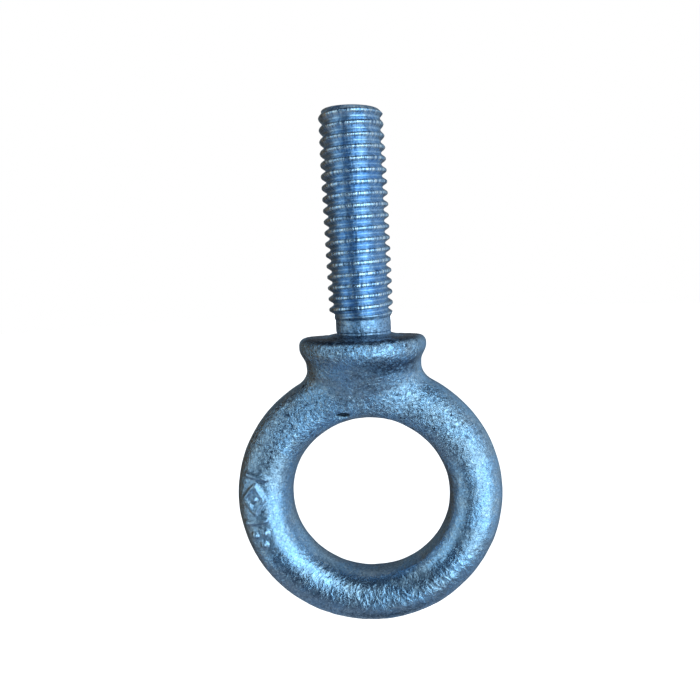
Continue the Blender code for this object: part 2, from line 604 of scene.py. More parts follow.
@dataclass(frozen=True)
class ForgedZinc:
    """Zinc plate over a hammered forging: crinkled where the dies pressed it, smoother where it was trimmed.

    A fineness is in lumps to a crinkle.  A cut is the stretch of a noise, a mask or a height over which an
    effect grows, and a share is how strong the effect is.  The colour carries painted shade in the skin's
    pits and valleys, below the rim and in the gouge, and a painted dark reflection on the seat's front.
    """

    sizes: FrameSizes
    tones: ZincTones = ZincTones()
    # Near-black blue painted shade for the pits, valleys and undercut, and the seat front's painted dark
    # reflection.
    painted_shade: Colour = (0.035, 0.055, 0.10)
    # Near-black painted shade for the gouge in the throat's lip.
    gouge_shade: Colour = (0.02, 0.025, 0.035)
    crinkle_size: float = 0.00055
    crinkle_depth: float = 0.0001
    wander_fineness: float = 0.7
    wander_reach: float = 0.45
    cell_fineness: float = 0.8
    cell_softness: float = 0.35
    cell_share: float = 0.9
    worm_fineness: float = 0.9
    worm_width: float = 0.16
    worm_share: float = 0.45
    fold_fineness: float = 0.78
    fold_cut: Span = (0.30, 0.70)
    frost_size: float = 0.00024
    frost_depth: float = 0.000019
    streak_stretch: float = 0.62
    streak_share: float = 0.75
    drawn_share: float = 0.45
    polish: float = 0.75
    calm_cut: Span = (-0.013, -0.021)
    bottom_cut: Span = (-0.002, -0.012)
    calm_share: float = 0.42
    wrinkled_share: float = 0.60
    stirred_share: float = 0.6
    mottle_fineness: float = 0.9
    matte_share: float = 0.5
    pit_fineness: float = 0.75
    pit_cut: Span = (0.44, 0.33)
    crowd_cut: Span = (0.40, 0.60)
    crowd_shares: Span = (0.35, 1.0)
    valley_cut: Span = (0.52, 0.22)
    valley_share: float = 0.35
    # These shape the seat front's painted dark reflection and the undercut's painted shade.
    front_cut: Span = (-0.0020, -0.0048)
    seat_cut: Span = (-0.0005, 0.0001)
    seat_shade_fineness: float = 0.95
    seat_shade_cut: Span = (0.58, 0.46)
    seat_shade_full: float = 0.6
    seat_shade_shares: Span = (0.55, 0.97)
    undercut_top_cut: Span = (-0.0022, -0.0034)
    undercut_foot_cut: Span = (-0.0056, -0.0044)
    undercut_side_cut: Span = (-0.001, 0.004)
    undercut_breakup_cut: Span = (0.66, 0.40)
    undercut_breakup_shares: Span = (0.5, 0.92)
    # The gouge's painted shade.
    gouge_shade_cut: Span = (0.12, 0.5)
    gouge_shade_share: float = 0.95
    skin_cut: Span = (0.25, 0.75)
    pressed_roughness: Span = (0.30, 0.17)
    calm_roughness: float = 0.31
    trimmed_roughness: Span = (0.36, 0.43)

    def crinkle(self, patch: Patch, place: Any) -> Any:
        """The crinkled die skin: cells with worm-like ridges between them.

        Args:
            patch: Where the nodes go.
            place: The object's own coordinates.

        Returns:
            A height from 0 to 1.
        """
        fineness = 1.0 / self.crinkle_size
        wander = patch.node(
            "ShaderNodeTexNoise",
            {"Vector": place, "Scale": self.wander_fineness * fineness, "Detail": 2.0},
        ).outputs["Color"]
        bent = patch.vector("ADD", place, patch.scaled(wander, self.wander_reach * self.crinkle_size))
        cells = patch.node(
            "ShaderNodeTexVoronoi",
            {"Vector": bent, "Scale": self.cell_fineness * fineness, "Smoothness": self.cell_softness},
            feature="SMOOTH_F1",
        ).outputs["Distance"]
        worms = patch.grain(bent, self.worm_fineness * fineness, 3.0, 0.55, 1.2)
        ridges = patch.math("ABSOLUTE", patch.math("SUBTRACT", worms, 0.5))
        ridges = patch.grade(ridges, 0.0, self.worm_width, 1.0, 0.0)
        return patch.math("ADD", patch.all_of(cells, self.cell_share), patch.all_of(ridges, self.worm_share))

    def streaks(self, patch: Patch, place: Any) -> Any:
        """Wrinkles that run across the eye's section, where the metal folded as the die closed.

        Args:
            patch: Where the nodes go.
            place: The object's own coordinates.

        Returns:
            A height from 0 to 1.
        """
        centred = patch.vector("ADD", place, (0.0, 0.0, self.sizes.eye_drop))
        flat = patch.vector("MULTIPLY", centred, (1.0, 0.0, 1.0))
        around = patch.scaled(patch.vector("NORMALIZE", flat), self.sizes.eye_middle)
        across = patch.scaled(patch.vector("SUBTRACT", centred, around), self.streak_stretch)
        fineness = self.fold_fineness / self.crinkle_size
        folds = patch.grain(patch.vector("ADD", around, across), fineness, 3.0, 0.5, 0.6)
        return patch.grade(folds, *self.fold_cut)

    def zones(self, patch: Patch, height: Any) -> dict[str, Any]:
        """How each place was made.

        Args:
            patch: Where the nodes go.
            height: Height above the seat.

        Returns:
            Shares from 0 to 1: "smooth" where it was trimmed or drawn, "bottom" round the eye's lowest
            stretch, "stirred" there and round the collar and the throat, and "rough" for the die's skin.
        """
        drawn = patch.all_of(patch.mask(Skin.DRAWN), self.drawn_share)
        smooth = patch.any_of(patch.mask(Skin.TRIMMED), drawn)
        start, full = (reach - self.sizes.eye_drop for reach in self.bottom_cut)
        bottom = patch.grade(height, start, full)
        lively = patch.grade(height, *self.calm_cut, 1.0, 0.0)
        calm = patch.blend(lively, patch.blend(bottom, self.calm_share, self.wrinkled_share), 1.0)
        bare = patch.math("SUBTRACT", 1.0, patch.all_of(smooth, self.polish), clamp=True)
        stirred = patch.any_of(lively, patch.all_of(bottom, self.stirred_share))
        return {"smooth": smooth, "bottom": bottom, "stirred": stirred, "rough": patch.all_of(bare, calm)}

    def pit_shade(self, patch: Patch, place: Any, skin: Any, zones: dict[str, Any]) -> Any:
        """Painted shade: dark specks standing in for shaded pits, and darkening in the die skin's low
        valleys.

        Args:
            patch: Where the nodes go.
            place: The object's own coordinates.
            skin: The die skin's height.
            zones: How each place was made.

        Returns:
            Shares from 0 to 1, darkest at 1.
        """
        pit_shade = patch.grain(place, self.pit_fineness / self.crinkle_size, 3.0, 0.6)
        crowd = patch.grade(patch.grain(place, self.tones.drift, 2.0), *self.crowd_cut, *self.crowd_shares)
        # Painted shade: dark specks for shaded pits that the geometry does not have.
        pitted = patch.all_of(patch.grade(pit_shade, *self.pit_cut), crowd, zones["rough"], zones["stirred"])
        # Painted shade: darker where the crinkled skin's bump is low.
        valley_shade = patch.all_of(patch.grade(skin, *self.valley_cut), zones["rough"], self.valley_share)
        return patch.any_of(pitted, valley_shade)

    def seat_and_undercut_shade(self, patch: Patch, place: Any, axes: Any, mottle: Any) -> Any:
        """Painted light: a painted dark reflection on the seat's front, and painted shade in the undercut
        below its rim.

        Args:
            patch: Where the nodes go.
            place: The object's own coordinates.
            axes: The same coordinates, one by one.
            mottle: The soft mottle of the smooth stretches.

        Returns:
            Shares from 0 to 1, darkest at 1.
        """
        front = patch.grade(axes["Y"], *self.front_cut)
        seat_shade = patch.grain(place, self.seat_shade_fineness / self.crinkle_size, 2.0, 0.6)
        seat_shade = patch.grade(seat_shade, *self.seat_shade_cut)
        seat_shade = patch.grade(seat_shade, 0.0, self.seat_shade_full, *self.seat_shade_shares)
        on_seat = patch.grade(axes["Z"], *self.seat_cut)
        below_rim = patch.grade(axes["Z"], *self.undercut_top_cut)
        above_waist = patch.grade(axes["Z"], *self.undercut_foot_cut)
        aside = patch.grade(axes["X"], *self.undercut_side_cut)
        undercut_shade_breakup = patch.grade(mottle, *self.undercut_breakup_cut, *self.undercut_breakup_shares)
        undercut = patch.all_of(below_rim, above_waist, front, aside, undercut_shade_breakup)
        # Painted dark reflection on the seat's front; painted shade in the undercut, broken up by the mottle.
        return patch.any_of(patch.all_of(front, on_seat, seat_shade), undercut)

    def material(self) -> bpy.types.Material:
        """Builds the finish.

        Returns:
            The material.
        """
        material, patch, shader = new_material("forged_zinc")
        place = patch.node("ShaderNodeTexCoord").outputs["Object"]
        axes = patch.node("ShaderNodeSeparateXYZ", {"Vector": place}).outputs
        frost = patch.effect(FROST.group(), {"Place": place, "Fineness": 1.0 / self.frost_size}).outputs
        zones = self.zones(patch, axes["Z"])
        streaked = patch.all_of(zones["bottom"], self.streak_share)
        skin = patch.blend(streaked, self.crinkle(patch, place), self.streaks(patch, place))
        mottle = patch.grain(place, self.mottle_fineness / self.crinkle_size, 2.0, 0.6)
        matte = patch.all_of(mottle, zones["smooth"], self.matte_share)
        relief = patch.math("ADD", patch.all_of(skin, zones["rough"]), matte)
        normal = patch.relief(((self.crinkle_depth, relief), (self.frost_depth, frost["Height"])))
        pit_shade = self.pit_shade(patch, place, skin, zones)
        dark = patch.any_of(pit_shade, self.seat_and_undercut_shade(patch, place, axes, mottle))
        # Painted shade: the pits, valleys and undercut, and the seat front's dark reflection, are tinted
        # near-black blue.
        colour = patch.tint(dark, self.tones.tinted(patch, place), (*self.painted_shade, 1.0))
        # Painted shade: the gouge in the throat's lip is tinted near-black.
        gouge_shaded = patch.grade(patch.mask(Skin.HOLLOW), *self.gouge_shade_cut, 0.0, self.gouge_shade_share)
        colour = patch.tint(gouge_shaded, colour, (*self.gouge_shade, 1.0))
        pressed = patch.grade(skin, *self.skin_cut, *self.pressed_roughness)
        pressed = patch.blend(zones["stirred"], self.calm_roughness, pressed)
        trimmed = patch.blend(frost["Patches"], *self.trimmed_roughness)
        roughness = patch.blend(zones["smooth"], pressed, trimmed)
        patch.finish(shader, Base_Color=colour, Roughness=roughness, Normal=normal)
        shader.inputs["Metallic"].default_value = 1.0
        return material


@dataclass(frozen=True)
class RolledZinc:
    """Zinc plate over a rolled thread: bright flanks, and crests scored by the rolling dies."""

    sizes: FrameSizes
    tones: ZincTones = ZincTones(blue=(0.36, 0.58, 0.87), grey=(0.46, 0.63, 0.84), bloom=0.45, speckle=0.55)
    # A painted highlight along the crests, where their scores stand high.
    painted_crest_highlight: Colour = (0.86, 0.92, 0.96)
    # Painted shade for the dips of the crests' scores and of the neck's mottle.
    painted_dip_shade: Colour = (0.09, 0.15, 0.27)
    mottle_size: float = 0.0006
    mottle_height: float = 1.7
    neck_cut: Span = (0.0036, 0.0028)
    neck_shade_cut: Span = (0.48, 0.38)
    neck_shade_share: float = 0.7
    score_size: float = 0.0003
    score_depth: float = 0.00008
    score_stretch: float = 0.18
    score_crest_cut: Span = (0.1, 0.9)
    score_shares: Span = (0.4, 1.0)
    dip_shade_cut: Span = (0.47, 0.36)
    dip_shade_share: float = 0.75
    crest_highlight_cut: Span = (0.45, 0.62)
    frost_size: float = 0.0002
    frost_depth: float = 0.000012
    roughness: Span = (0.33, 0.26)

    def scores(self, patch: Patch, place: Any) -> Any:
        """Short scores that run up the crests.

        Args:
            patch: Where the nodes go.
            place: The object's own coordinates.

        Returns:
            A height from 0 to 1.
        """
        flat = patch.vector("MULTIPLY", place, (1.0, 1.0, 0.0))
        around = patch.scaled(patch.vector("NORMALIZE", flat), self.sizes.thread_radius)
        along = patch.vector("MULTIPLY", place, (0.0, 0.0, self.score_stretch))
        return patch.grain(patch.vector("ADD", around, along), 1.0 / self.score_size, 3.0, 0.6)

    def material(self) -> bpy.types.Material:
        """Builds the finish.

        Returns:
            The material.
        """
        material, patch, shader = new_material("rolled_zinc")
        place = patch.node("ShaderNodeTexCoord").outputs["Object"]
        height = patch.node("ShaderNodeSeparateXYZ", {"Vector": place}).outputs["Z"]
        crest = patch.mask(Skin.CREST)
        on_neck = patch.grade(height, *self.neck_cut)
        frost = patch.effect(FROST.group(), {"Place": place, "Fineness": 1.0 / self.frost_size}).outputs
        scores = self.scores(patch, place)
        mottle = patch.grain(place, 1.0 / self.mottle_size, 4.0, 0.65, 0.8)
        scored = patch.all_of(scores, patch.grade(crest, *self.score_crest_cut, *self.score_shares))
        relief = patch.blend(on_neck, scored, patch.all_of(mottle, self.mottle_height))
        normal = patch.relief(((self.score_depth, relief), (self.frost_depth, frost["Height"])))
        # Painted shade: the neck is darker where its mottled bump is low.
        neck_dip_shade = patch.all_of(on_neck, patch.grade(mottle, *self.neck_shade_cut, 0.0, self.neck_shade_share))
        # Painted shade in the crests' score dips.
        painted_dip_shade = patch.all_of(crest, patch.grade(scores, *self.dip_shade_cut, 0.0, self.dip_shade_share))
        # Painted highlight on the crests where the scores' bump is high.
        painted_crest_highlight = patch.all_of(crest, patch.grade(scores, *self.crest_highlight_cut))
        colour = patch.tint(neck_dip_shade, self.tones.tinted(patch, place), (*self.painted_dip_shade, 1.0))
        colour = patch.tint(painted_dip_shade, colour, (*self.painted_dip_shade, 1.0))
        colour = patch.tint(painted_crest_highlight, colour, (*self.painted_crest_highlight, 1.0))
        roughness = patch.grade(crest, 0.0, 1.0, *self.roughness)
        patch.finish(shader, Base_Color=colour, Roughness=roughness, Normal=normal)
        shader.inputs["Metallic"].default_value = 1.0
        return material


@dataclass(frozen=True)
class StudioPaper:
    """Plain pale paper, lit evenly enough to show no fall-off."""

    colour: Colour = (0.90, 0.90, 0.90)
    glow: float = 1.1
    fibre_fineness: float = 900.0
    fibre_cut: Span = (0.3, 0.7)
    roughness: Span = (0.82, 0.95)

    def material(self) -> bpy.types.Material:
        """Builds the finish.

        Returns:
            The material.
        """
        material, patch, shader = new_material("studio_paper")
        place = patch.node("ShaderNodeTexCoord").outputs["Object"]
        fibre = patch.grain(place, self.fibre_fineness, 2.0)
        shader.inputs["Base Color"].default_value = (*self.colour, 1.0)
        shader.inputs["Emission Color"].default_value = WHITE
        shader.inputs["Emission Strength"].default_value = self.glow
        patch.finish(shader, Roughness=patch.grade(fibre, *self.fibre_cut, *self.roughness))
        return material


# ---------------------------------------------------------------------------------------------------------
# The forging
# ---------------------------------------------------------------------------------------------------------


@dataclass(frozen=True)
class ForgedShape:
    """The forging as one distance field: a full-sectioned ring, and a stem from the seat to the hole."""

    sizes: FrameSizes
    section_fullness: float = 2.2
    edge_round: float = 0.0011
    seat_level: float = 0.00006
    seat_boss: float = 0.0004
    seat_boss_radius: float = 0.0063
    seat_fall: float = 0.02
    seat_lean: Span = (-0.006, -0.045)
    fillet: float = 0.0016
    lip_half_width: float = 0.0055
    lip_half_thickness: float = 0.0040
    lip_drop: float = 0.0116
    lip_fullness: float = 0.7
    throat_entry: float = 0.12
    throat_hollow: float = 0.38
    guard_half_thickness: float = 0.0057
    hole_relief: float = 0.00036
    relief_middle: float = 0.0018
    relief_reach: float = 0.0075
    relief_rise: float = 0.004
    widest_taper: float = 1.2
    widest_slope: float = 1.1
    probe: float = 0.00002
    longest_step: float = 0.0006
    least_slope: float = 0.05

    def ring(self, points: np.ndarray) -> np.ndarray:
        """Distance to the eye.

        Args:
            points: An array of points, one to a row.

        Returns:
            Distances, negative inside.
        """
        s = self.sizes
        radii = np.hypot(points[:, 0], points[:, 2] + s.eye_drop)
        across = np.abs(radii - s.eye_middle) / s.eye_half_width
        through = np.abs(points[:, 1]) / s.eye_half_thickness
        n = self.section_fullness
        return ((across**n + through**n) ** (1 / n) - 1.0) * s.eye_half_width

    def stem_half_sizes(self, z: np.ndarray) -> tuple[np.ndarray, np.ndarray, np.ndarray]:
        """How wide and thick the stem is.

        Args:
            z: Heights.

        Returns:
            The half-width, the half-thickness and the fullness of the section at each height.
        """
        s = self.sizes
        undercut = np.clip((-z - s.rim_drop) / (s.collar_height - s.rim_drop), 0.0, 1.0)
        width = s.rim_radius + (s.waist_radius - s.rim_radius) * (1.0 - np.cos(math.pi * undercut)) / 2.0
        taper = np.clip((-z - s.collar_height) / (self.lip_drop - s.collar_height), 0.0, self.widest_taper)
        width = width + (self.lip_half_width - s.waist_radius) * taper**2
        slope = np.clip((-z - s.rim_drop) / (self.lip_drop - s.rim_drop), 0.0, self.widest_slope)
        entry = self.throat_entry
        line = np.where(slope < entry, slope**2 / (2.0 * entry), slope - entry / 2.0) / (1.0 - entry / 2.0)
        line = line * (1.0 + self.throat_hollow * (1.0 - line))
        thickness = s.rim_radius + (self.lip_half_thickness - s.rim_radius) * line
        return width, thickness, 2.0 + self.lip_fullness * np.clip(taper, 0.0, 1.0)

    def seat(self, points: np.ndarray) -> np.ndarray:
        """Height of the seat: a low boss round the neck on a forged face that is not quite square.

        Args:
            points: An array of points, one to a row.

        Returns:
            The seat's height at each point.
        """
        radii = np.hypot(points[:, 0], points[:, 1])
        boss = self.seat_boss * ramp(radii, self.seat_boss_radius, self.sizes.neck_radius)
        fall = self.seat_fall * np.hypot(points[:, 1], self.edge_round)
        lean_x, lean_y = self.seat_lean
        return self.seat_level + boss - fall + lean_x * points[:, 0] + lean_y * points[:, 1]

    def stem(self, points: np.ndarray) -> np.ndarray:
        """Distance to the collar and the throat, open over the hole.

        Args:
            points: An array of points, one to a row.

        Returns:
            Distances, negative inside.
        """
        width, thickness, n = self.stem_half_sizes(points[:, 2])
        across = np.abs(points[:, 0]) / width
        through = np.abs(points[:, 1]) / thickness
        side = ((across**n + through**n) ** (1.0 / n) - 1.0) * np.minimum(width, thickness)
        below = -self.sizes.eye_drop - points[:, 2]
        return np.maximum(rounded_cut(side, points[:, 2] - self.seat(points), self.edge_round), below)

    def guard(self, points: np.ndarray) -> np.ndarray:
        """Keeps the hole open: the inner side of a slightly fatter ring.

        Args:
            points: An array of points, one to a row.

        Returns:
            Distances, negative where metal may be.
        """
        s = self.sizes
        n = self.section_fullness
        share = np.clip(np.abs(points[:, 1]) / self.guard_half_thickness, 0.0, 1.0)
        inner = s.eye_middle - s.eye_half_width * (1.0 - share**n) ** (1.0 / n)
        near_top = np.exp(-(((points[:, 0] - self.relief_middle) / self.relief_reach) ** 2))
        inner = inner + self.hole_relief * near_top * ramp(points[:, 2] + s.eye_drop, 0.0, self.relief_rise)
        return inner - np.hypot(points[:, 0], points[:, 2] + s.eye_drop)

    def distance(self, points: np.ndarray) -> np.ndarray:
        """Distance to the whole forging.

        Args:
            points: An array of points, one to a row.

        Returns:
            Distances, negative inside.
        """
        guard = self.guard(points)
        stem = rounded_cut(self.stem(points), guard, self.edge_round / 2)
        return np.maximum(fillet_join(self.ring(points), stem, self.fillet), guard)

    def gradient(self, points: np.ndarray) -> np.ndarray:
        """The field's slope, by central differences.

        Args:
            points: An array of points, one to a row.

        Returns:
            One vector for each point.
        """
        slopes = []
        for axis in range(3):
            offset = np.zeros(3)
            offset[axis] = self.probe
            rise = self.distance(points + offset) - self.distance(points - offset)
            slopes.append(rise / (2.0 * self.probe))
        return np.stack(slopes, axis=1)

    def settle(self, points: np.ndarray, rounds: int = 5) -> np.ndarray:
        """Moves points onto the surface.

        Args:
            points: An array of points near the surface.
            rounds: How many Newton steps they take.

        Returns:
            The moved points.
        """
        for _ in range(rounds):
            slope = self.gradient(points)
            size = np.maximum((slope**2).sum(axis=1), self.least_slope)
            step = slope * (self.distance(points) / size)[:, None]
            length = np.linalg.norm(step, axis=1, keepdims=True)
            points = points - step * np.minimum(1.0, self.longest_step / np.maximum(length, NOT_ZERO))
        return points


@dataclass(frozen=True)
class SizeMark:
    """A plain raised mark on the eye: bars, a lozenge and studs, worn soft.

    Places are (along, across): along the ring from the mark's middle, downwards, and across its face.
    """

    sizes: FrameSizes
    angle: float = 181.5
    offset: float = 0.0009
    height: float = 0.00045
    stroke: float = 0.00032
    softness: float = 0.0005
    bars: tuple[Span, ...] = ((-0.0050, 0.0014), (0.0018, 0.0015))
    lozenge: tuple[float, float, float] = (-0.0017, 0.0020, 0.0014)
    lozenge_stroke: float = 0.85
    studs: tuple[Span, ...] = ((-0.0017, 0.0), (0.0037, 0.0008), (0.0037, -0.0008), (0.0053, 0.0))
    stud_radius: float = 0.00048

    def relief(self, points: np.ndarray) -> np.ndarray:
        """How far the mark stands out.

        Args:
            points: An array of points, one to a row.

        Returns:
            Heights along the normal.
        """
        s = self.sizes
        z = points[:, 2] + s.eye_drop
        turn = np.arctan2(z, points[:, 0]) - math.radians(self.angle)
        turn = (turn + math.pi) % (2.0 * math.pi) - math.pi
        along = turn * s.eye_middle
        across = np.hypot(points[:, 0], z) - s.eye_middle - self.offset
        gap = np.full(len(points), 1.0)
        for place, reach in self.bars:
            side = np.maximum(np.abs(across) - reach, 0.0)
            gap = np.minimum(gap, np.hypot(along - place, side) - self.stroke)
        middle, half_length, half_width = self.lozenge
        inside = np.abs(along - middle) / half_length + np.abs(across) / half_width - 1.0
        slant = half_length * half_width / math.hypot(half_length, half_width)
        gap = np.minimum(gap, np.abs(inside) * slant - self.stroke * self.lozenge_stroke)
        for place, offset in self.studs:
            gap = np.minimum(gap, np.hypot(along - place, across - offset) - self.stud_radius)
        return self.height * ramp(gap, self.softness / 2, -self.softness / 2) * (points[:, 1] < 0.0)


@dataclass
class Forging:
    """Eye, throat and collar in one skin, drop forged, trimmed and plated."""

    sizes: FrameSizes
    blank_voxel: float = 0.0006
    skin_voxel: float = 0.000236
    relaxing: float = 0.5
    dent_depth: float = 0.00005
    dent_size: float = 0.0042
    lump_depth: float = 0.00004
    lump_size: float = 0.0012
    dent_damping: float = 0.8
    trim_step: float = 0.00002
    inner_trim: float = 0.44
    outer_trim: float = 0.47
    collar_trim: float = 0.42
    ragged_size: float = 0.0032
    ragged_share: float = 0.10
    trim_edge: Span = (-0.05, 0.06)
    stem_edge: Span = (0.0, 0.0008)
    least_level: float = 0.05
    drawn_edge: Span = (-0.0002, 0.0010)
    drawn_below: Span = (0.0026, 0.0036)
    drawn_facing: Span = (0.35, 0.6)
    gouge_place: Span = (-0.0031, -0.0040)
    gouge_rise: float = 0.0018
    gouge_reach: tuple[float, float, float] = (0.0010, 0.0022, 0.00030)
    gouge_depth: float = 0.0005
    shape: ForgedShape = field(init=False)
    mark: SizeMark = field(init=False)

    def __post_init__(self) -> None:
        """Ties the shape and the mark to the frame's sizes."""
        self.shape = ForgedShape(self.sizes)
        self.mark = SizeMark(self.sizes)

    def blank(self) -> bpy.types.Object:
        """The rough blank: a torus for the eye and a cone for the stem.

        Returns:
            An object that holds both, overlapping.
        """
        s = self.sizes
        bpy.ops.mesh.primitive_torus_add(
            major_radius=s.eye_middle,
            minor_radius=s.eye_half_width,
            major_segments=96,
            minor_segments=24,
            location=(0.0, 0.0, -s.eye_drop),
            rotation=(math.pi / 2, 0.0, 0.0),
        )
        ring = bpy.context.object
        ring.data.transform(ring.matrix_world)
        ring.matrix_world.identity()
        bm = bmesh.new()
        bm.from_mesh(ring.data)
        lip = s.eye_drop - s.eye_middle
        stem = bmesh.ops.create_cone(
            bm,
            cap_ends=True,
            segments=64,
            radius1=self.shape.lip_half_width,
            radius2=s.rim_radius,
            depth=lip,
        )
        bmesh.ops.translate(bm, verts=stem["verts"], vec=(0.0, 0.0, -lip / 2))
        bm.to_mesh(ring.data)
        bm.free()
        ring.name = "forging"
        ring.data.name = "forging"
        return ring

    @staticmethod
    def remesh(obj: bpy.types.Object, voxel: float) -> None:
        """Replaces an object's mesh by one even skin.

        Args:
            obj: The object.
            voxel: The size of a face.
        """
        modifier = obj.modifiers.new("skin", "REMESH")
        modifier.mode = "VOXEL"
        modifier.voxel_size = voxel
        graph = bpy.context.evaluated_depsgraph_get()
        made = bpy.data.meshes.new_from_object(obj.evaluated_get(graph))
        obj.modifiers.clear()
        obj.data = made

    def settle(self, obj: bpy.types.Object, relaxings: int) -> np.ndarray:
        """Lays the mesh on the forged shape and evens out its faces.

        Args:
            obj: The object.
            relaxings: How often each vertex moves towards its neighbours' middle.

        Returns:
            The vertices' final places.
        """
        points = self.shape.settle(corners_of(obj))
        edges = np.empty(len(obj.data.edges) * 2, np.int32)
        obj.data.edges.foreach_get("vertices", edges)
        first, second = edges.reshape(-1, 2).T
        count = np.bincount(edges, minlength=len(points))[:, None]
        for _ in range(relaxings):
            total = np.zeros_like(points)
            for axis in range(3):
                total[:, axis] += np.bincount(first, points[second, axis], len(points))
                total[:, axis] += np.bincount(second, points[first, axis], len(points))
            points = self.shape.settle(points + self.relaxing * (total / count - points), rounds=1)
        points = self.shape.settle(points, rounds=2)
        self.place(obj, points)
        return points

    @staticmethod
    def place(obj: bpy.types.Object, points: np.ndarray) -> None:
        """Moves a mesh's vertices.

        Args:
            obj: The object.
            points: Where each vertex goes.
        """
        obj.data.vertices.foreach_set("co", points.astype(np.float32).ravel())
        obj.data.update()

    def trim_mask(self, points: np.ndarray, normals: np.ndarray) -> np.ndarray:
        """Where the trimming tool left a smoother surface: the eye's inner and outer sides, and the collar's.

        Args:
            points: The vertices.
            normals: The surface's normal at each.

        Returns:
            Shares from 0, as forged, to 1, trimmed.
        """
        s = self.sizes
        radii = np.hypot(points[:, 0], points[:, 2] + s.eye_drop)
        limit = np.where(radii < s.eye_middle, self.inner_trim, self.outer_trim)
        on_stem = ramp(self.shape.ring(points) - self.shape.stem(points), *self.stem_edge)
        limit = limit + (self.collar_trim - limit) * on_stem
        ragged = self.ragged_share * noise_at(points, self.ragged_size, 4)
        level = np.hypot(normals[:, 0], normals[:, 1])
        level = np.maximum(level, self.least_level)
        facing = np.abs(normals[:, 1]) / np.where(on_stem > 0.5, level, 1.0)
        return ramp(limit + ragged - facing, *self.trim_edge)

    def drawn_mask(self, points: np.ndarray, normals: np.ndarray) -> np.ndarray:
        """Where the throat's front and back were drawn smooth by the flowing metal.

        Args:
            points: The vertices.
            normals: The surface's normal at each.

        Returns:
            Shares from 0 to 1.
        """
        stem_side = ramp(self.shape.ring(points) - self.shape.stem(points), *self.drawn_edge)
        under_rim = ramp(-points[:, 2], *self.drawn_below)
        facing = ramp(np.abs(normals[:, 1]), *self.drawn_facing)
        return stem_side * under_rim * facing

    def gouge(self, points: np.ndarray) -> np.ndarray:
        """A nick in the throat's lip, left by the trimming tool.

        Args:
            points: The vertices.

        Returns:
            Shares from 0 to 1, deepest at 1.
        """
        s = self.sizes
        x, y = self.gouge_place
        z = -s.eye_drop + math.sqrt((s.eye_hole + self.gouge_rise) ** 2 - x**2)
        away = (points - np.array((x, y, z))) / np.array(self.gouge_reach)
        return np.exp(-(away**2).sum(axis=1))

    def build(self) -> bpy.types.Object:
        """Builds the skin, its marks and its masks.

        Returns:
            The forging.
        """
        obj = self.blank()
        self.remesh(obj, self.blank_voxel)
        self.settle(obj, relaxings=4)
        self.remesh(obj, self.skin_voxel)
        points = self.settle(obj, relaxings=6)
        slope = self.shape.gradient(points)
        normals = slope / np.linalg.norm(slope, axis=1, keepdims=True)
        trimmed = self.trim_mask(points, normals)
        drawn = self.drawn_mask(points, normals)
        gouge = self.gouge(points)
        relief = self.mark.relief(points)
        lift = self.dent_depth * noise_at(points, self.dent_size, 2)
        bare = 1.0 - self.dent_damping * np.maximum(trimmed, drawn)
        lift += self.lump_depth * noise_at(points, self.lump_size, 2) * bare
        lift += relief - self.trim_step * trimmed - self.gouge_depth * gouge
        self.place(obj, points + normals * lift[:, None])
        # The hollow mask marks the gouge, which the finish darkens as painted shade.
        masks = {Skin.TRIMMED: trimmed, Skin.DRAWN: drawn, Skin.HOLLOW: gouge}
        for skin, values in masks.items():
            layer = obj.data.attributes.new(skin.value, "FLOAT", "POINT")
            layer.data.foreach_set("value", values.astype(np.float32))
        obj.data.shade_smooth()
        return obj

    def dress(self, obj: bpy.types.Object) -> None:
        """Plates the forging and ties it to the frame.

        Args:
            obj: The forging.
        """
        obj.data.materials.clear()
        obj.data.materials.append(ForgedZinc(self.sizes).material())
        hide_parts("eye_ring", "shoulder_collar")
        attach(obj, "root")


# ---------------------------------------------------------------------------------------------------------
# The rolled shank
# ---------------------------------------------------------------------------------------------------------


